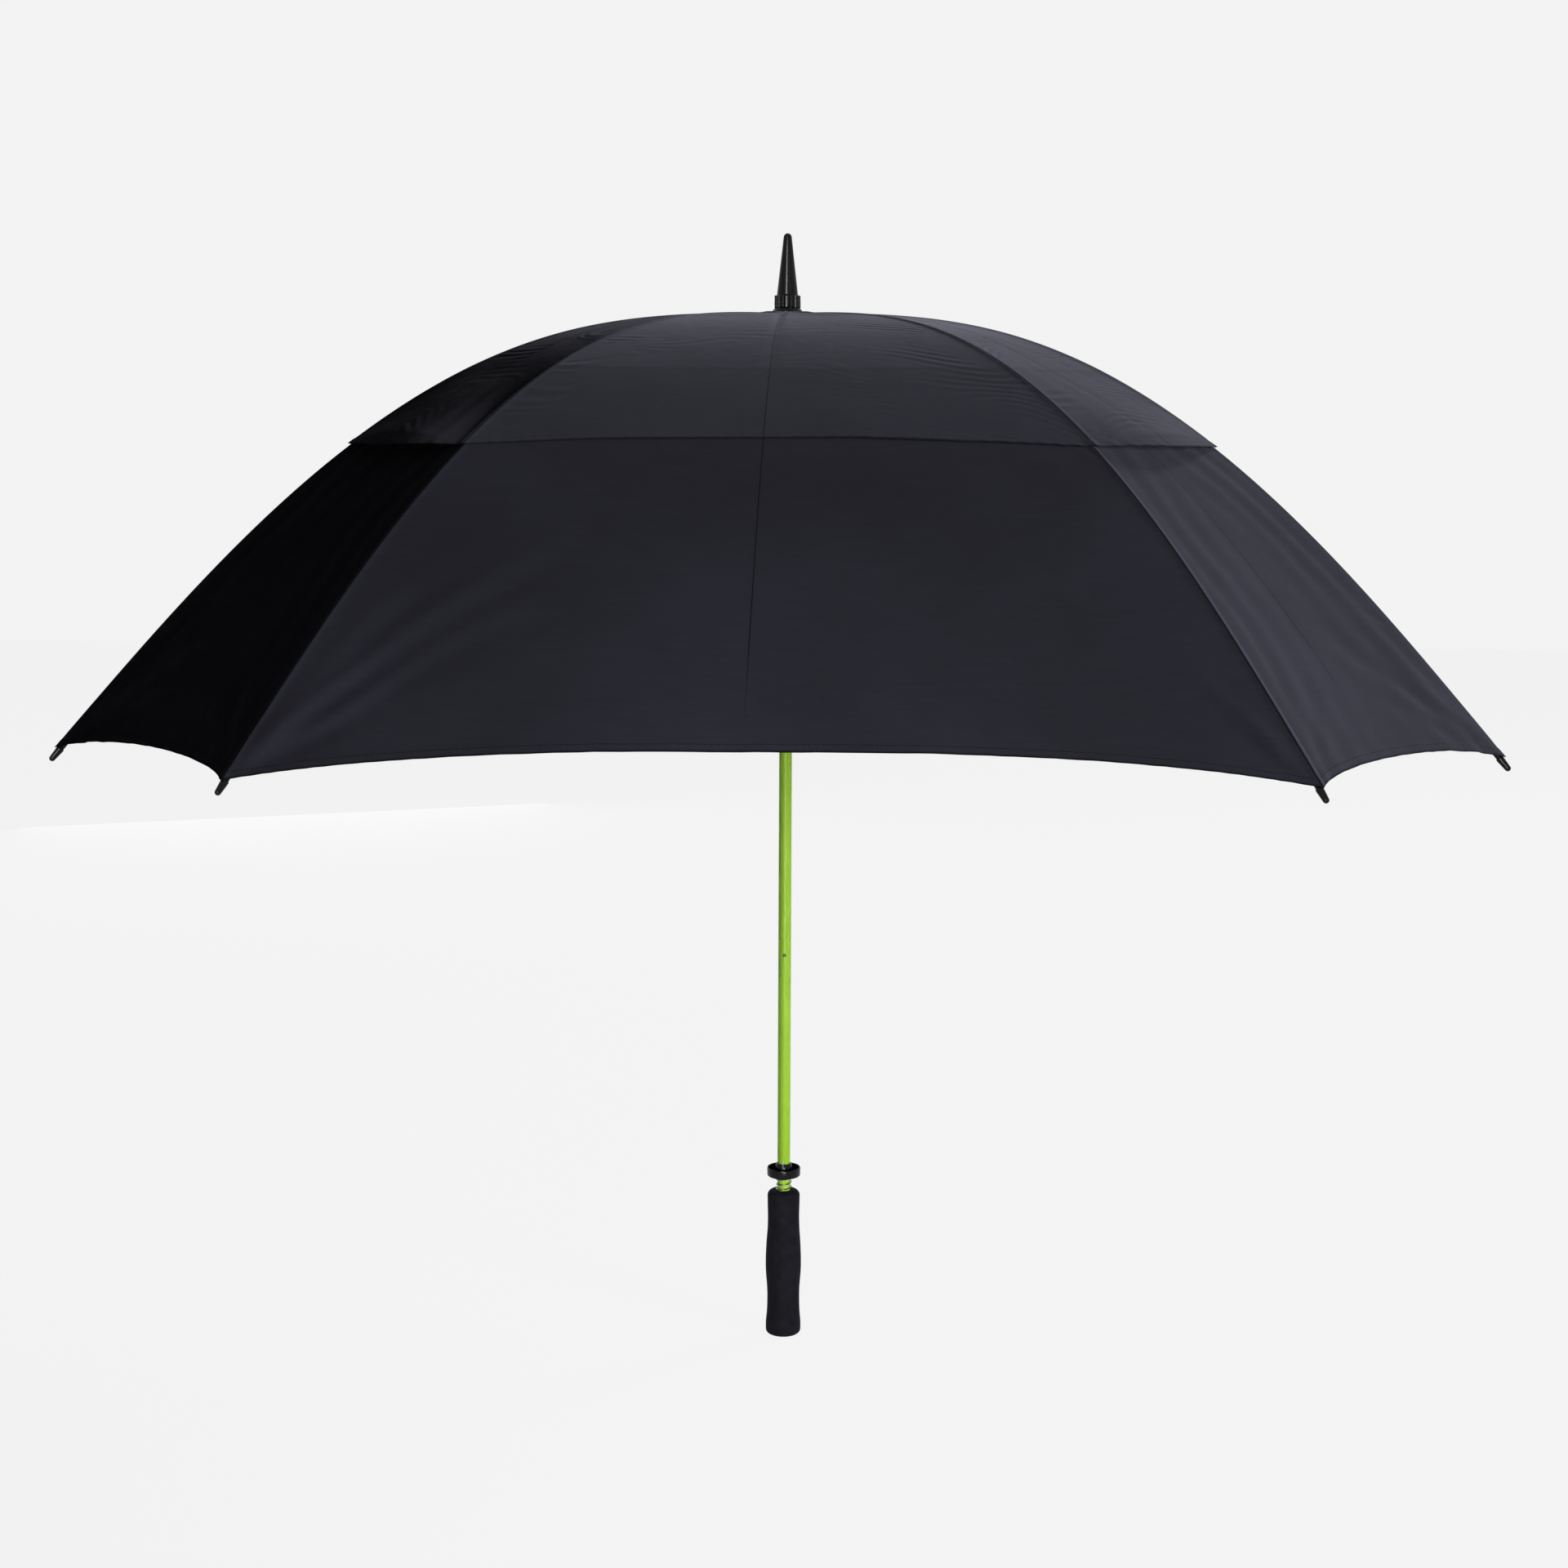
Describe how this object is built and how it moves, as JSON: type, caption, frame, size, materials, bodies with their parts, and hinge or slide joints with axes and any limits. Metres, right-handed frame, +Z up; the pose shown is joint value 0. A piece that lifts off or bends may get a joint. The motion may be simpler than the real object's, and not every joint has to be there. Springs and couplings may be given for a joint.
{
  "type": "golf umbrella",
  "caption": "Open golf umbrella: a vented double canopy on folding ribs and stretchers, a straight shaft with a sliding runner, a spring cup and a foam grip.",
  "frame": {"origin": "middle of the grip's flat end, on the shaft's axis", "axes": "+Z up the shaft to the ferrule's tip; -Y through the middle of a wide canopy panel; +X to the right of that panel seen from the front"},
  "size_m": [1.1294, 1.1294, 1.04],
  "materials": {
    "cover": "matte",
    "shaft_lacquer": "gloss",
    "grip_foam": "matte",
    "gloss_black": "gloss",
    "hub_black": "satin",
    "fibreglass": "satin",
    "bright_steel": "satin"
  },
  "bodies": {
    "shaft": {"shaft": "shaft_lacquer", "grip": "grip_foam", "cup_stop_pin": "bright_steel", "cup_spring": "bright_steel", "crown_notch": "hub_black", "crown_wire": "bright_steel", "ferrule": "gloss_black"},
    "cup": {"tip_cup": "gloss_black"},
    "open_catch": {"open_catch": "bright_steel"},
    "closed_catch": {"closed_catch": "bright_steel"},
    "runner": {"runner": "hub_black", "runner_wire": "bright_steel"},
    "rib_1": {"rib_1": "fibreglass", "rib_tip_1": "gloss_black", "rib_bracket_1": "hub_black", "lower_cover_1": "cover", "vent_cover_1": "cover"},
    "rib_2": {"rib_2": "fibreglass", "rib_tip_2": "gloss_black", "rib_bracket_2": "hub_black", "lower_cover_2": "cover", "vent_cover_2": "cover"},
    "rib_3": {"rib_3": "fibreglass", "rib_tip_3": "gloss_black", "rib_bracket_3": "hub_black", "lower_cover_3": "cover", "vent_cover_3": "cover"},
    "rib_4": {"rib_4": "fibreglass", "rib_tip_4": "gloss_black", "rib_bracket_4": "hub_black", "lower_cover_4": "cover", "vent_cover_4": "cover"},
    "rib_5": {"rib_5": "fibreglass", "rib_tip_5": "gloss_black", "rib_bracket_5": "hub_black", "lower_cover_5": "cover", "vent_cover_5": "cover"},
    "rib_6": {"rib_6": "fibreglass", "rib_tip_6": "gloss_black", "rib_bracket_6": "hub_black", "lower_cover_6": "cover", "vent_cover_6": "cover"},
    "rib_7": {"rib_7": "fibreglass", "rib_tip_7": "gloss_black", "rib_bracket_7": "hub_black", "lower_cover_7": "cover", "vent_cover_7": "cover"},
    "rib_8": {"rib_8": "fibreglass", "rib_tip_8": "gloss_black", "rib_bracket_8": "hub_black", "lower_cover_8": "cover", "vent_cover_8": "cover"},
    "stretcher_1": {"stretcher_1": "fibreglass"},
    "stretcher_2": {"stretcher_2": "fibreglass"},
    "stretcher_3": {"stretcher_3": "fibreglass"},
    "stretcher_4": {"stretcher_4": "fibreglass"},
    "stretcher_5": {"stretcher_5": "fibreglass"},
    "stretcher_6": {"stretcher_6": "fibreglass"},
    "stretcher_7": {"stretcher_7": "fibreglass"},
    "stretcher_8": {"stretcher_8": "fibreglass"}
  },
  "joints": [
    {"name": "canopy_fold", "type": "hinge", "parent": "shaft", "child": "rib_1", "pos_m": [0.00795, -0.01152, 0.963], "axis": [0.8231, 0.5678, 0], "range_deg": [0, 62.01], "deforming": ["lower_cover_1", "vent_cover_1", "open_catch", "closed_catch"]},
    {"name": "rib_2_fold", "type": "hinge", "parent": "shaft", "child": "rib_2", "pos_m": [0.01152, -0.00795, 0.963], "axis": [0.5678, 0.8231, 0], "range_deg": [0, 62.02], "deforming": ["lower_cover_2", "vent_cover_2"]},
    {"name": "rib_3_fold", "type": "hinge", "parent": "shaft", "child": "rib_3", "pos_m": [0.01152, 0.00795, 0.963], "axis": [-0.5678, 0.8231, 0], "range_deg": [0, 62.02], "deforming": ["lower_cover_3", "vent_cover_3"]},
    {"name": "rib_4_fold", "type": "hinge", "parent": "shaft", "child": "rib_4", "pos_m": [0.00795, 0.01152, 0.963], "axis": [-0.8231, 0.5678, 0], "range_deg": [0, 62.02], "deforming": ["lower_cover_4", "vent_cover_4"]},
    {"name": "rib_5_fold", "type": "hinge", "parent": "shaft", "child": "rib_5", "pos_m": [-0.00795, 0.01152, 0.963], "axis": [-0.8231, -0.5678, 0], "range_deg": [0, 62.02], "deforming": ["lower_cover_5", "vent_cover_5"]},
    {"name": "rib_6_fold", "type": "hinge", "parent": "shaft", "child": "rib_6", "pos_m": [-0.01152, 0.00795, 0.963], "axis": [-0.5678, -0.8231, 0], "range_deg": [0, 62.02], "deforming": ["lower_cover_6", "vent_cover_6"]},
    {"name": "rib_7_fold", "type": "hinge", "parent": "shaft", "child": "rib_7", "pos_m": [-0.01152, -0.00795, 0.963], "axis": [0.5678, -0.8231, 0], "range_deg": [0, 62.02], "deforming": ["lower_cover_7", "vent_cover_7"]},
    {"name": "rib_8_fold", "type": "hinge", "parent": "shaft", "child": "rib_8", "pos_m": [-0.00795, -0.01152, 0.963], "axis": [0.8231, -0.5678, 0], "range_deg": [0, 62.02], "deforming": ["lower_cover_8", "vent_cover_8"]},
    {"name": "stretcher_1_swing", "type": "hinge", "parent": "rib_1", "child": "stretcher_1", "pos_m": [0.16009, -0.23206, 0.9161], "axis": [0.8231, 0.5678, 0], "range_deg": [-124.04, 0]},
    {"name": "stretcher_2_swing", "type": "hinge", "parent": "rib_2", "child": "stretcher_2", "pos_m": [0.23206, -0.16009, 0.9161], "axis": [0.5678, 0.8231, 0], "range_deg": [-124.04, 0]},
    {"name": "stretcher_3_swing", "type": "hinge", "parent": "rib_3", "child": "stretcher_3", "pos_m": [0.23206, 0.16009, 0.9161], "axis": [-0.5678, 0.8231, 0], "range_deg": [-124.04, 0]},
    {"name": "stretcher_4_swing", "type": "hinge", "parent": "rib_4", "child": "stretcher_4", "pos_m": [0.16009, 0.23206, 0.9161], "axis": [-0.8231, 0.5678, 0], "range_deg": [-124.04, 0]},
    {"name": "stretcher_5_swing", "type": "hinge", "parent": "rib_5", "child": "stretcher_5", "pos_m": [-0.16009, 0.23206, 0.9161], "axis": [-0.8231, -0.5678, 0], "range_deg": [-124.04, 0]},
    {"name": "stretcher_6_swing", "type": "hinge", "parent": "rib_6", "child": "stretcher_6", "pos_m": [-0.23206, 0.16009, 0.9161], "axis": [-0.5678, -0.8231, 0], "range_deg": [-124.04, 0]},
    {"name": "stretcher_7_swing", "type": "hinge", "parent": "rib_7", "child": "stretcher_7", "pos_m": [-0.23206, -0.16009, 0.9161], "axis": [0.5678, -0.8231, 0], "range_deg": [-124.04, 0]},
    {"name": "stretcher_8_swing", "type": "hinge", "parent": "rib_8", "child": "stretcher_8", "pos_m": [-0.16009, -0.23206, 0.9161], "axis": [0.8231, -0.5678, 0], "range_deg": [-124.04, 0]},
    {"name": "runner_travel", "type": "hinge", "parent": "stretcher_1", "child": "runner", "pos_m": [0.00795, -0.01152, 0.86921], "axis": [0.8231, 0.5678, 0], "range_deg": [0, 62.02]},
    {"name": "cup_press", "type": "slide", "parent": "shaft", "child": "cup", "axis": [0, 0, 1], "range_m": [-0.008, 0], "stiffness_N_per_m": 250, "springref_m": 0.004, "deforming": ["cup_spring"]},
    {"name": "open_catch_press", "type": "slide", "parent": "shaft", "child": "open_catch", "axis": [0, 1, 0], "range_m": [0, 0.0022], "stiffness_N_per_m": 800, "springref_m": -0.002},
    {"name": "closed_catch_press", "type": "slide", "parent": "shaft", "child": "closed_catch", "axis": [0, 1, 0], "range_m": [0, 0.0022], "stiffness_N_per_m": 800, "springref_m": -0.002}
  ],
  "couplings": [
    {"joint": "rib_2_fold", "follows": "canopy_fold", "ratio": 1},
    {"joint": "rib_3_fold", "follows": "canopy_fold", "ratio": 1},
    {"joint": "rib_4_fold", "follows": "canopy_fold", "ratio": 1},
    {"joint": "rib_5_fold", "follows": "canopy_fold", "ratio": 1},
    {"joint": "rib_6_fold", "follows": "canopy_fold", "ratio": 1},
    {"joint": "rib_7_fold", "follows": "canopy_fold", "ratio": 1},
    {"joint": "rib_8_fold", "follows": "canopy_fold", "ratio": 1},
    {"joint": "stretcher_1_swing", "follows": "canopy_fold", "ratio": -2},
    {"joint": "stretcher_2_swing", "follows": "canopy_fold", "ratio": -2},
    {"joint": "stretcher_3_swing", "follows": "canopy_fold", "ratio": -2},
    {"joint": "stretcher_4_swing", "follows": "canopy_fold", "ratio": -2},
    {"joint": "stretcher_5_swing", "follows": "canopy_fold", "ratio": -2},
    {"joint": "stretcher_6_swing", "follows": "canopy_fold", "ratio": -2},
    {"joint": "stretcher_7_swing", "follows": "canopy_fold", "ratio": -2},
    {"joint": "stretcher_8_swing", "follows": "canopy_fold", "ratio": -2},
    {"joint": "runner_travel", "follows": "canopy_fold", "ratio": 1}
  ]
}
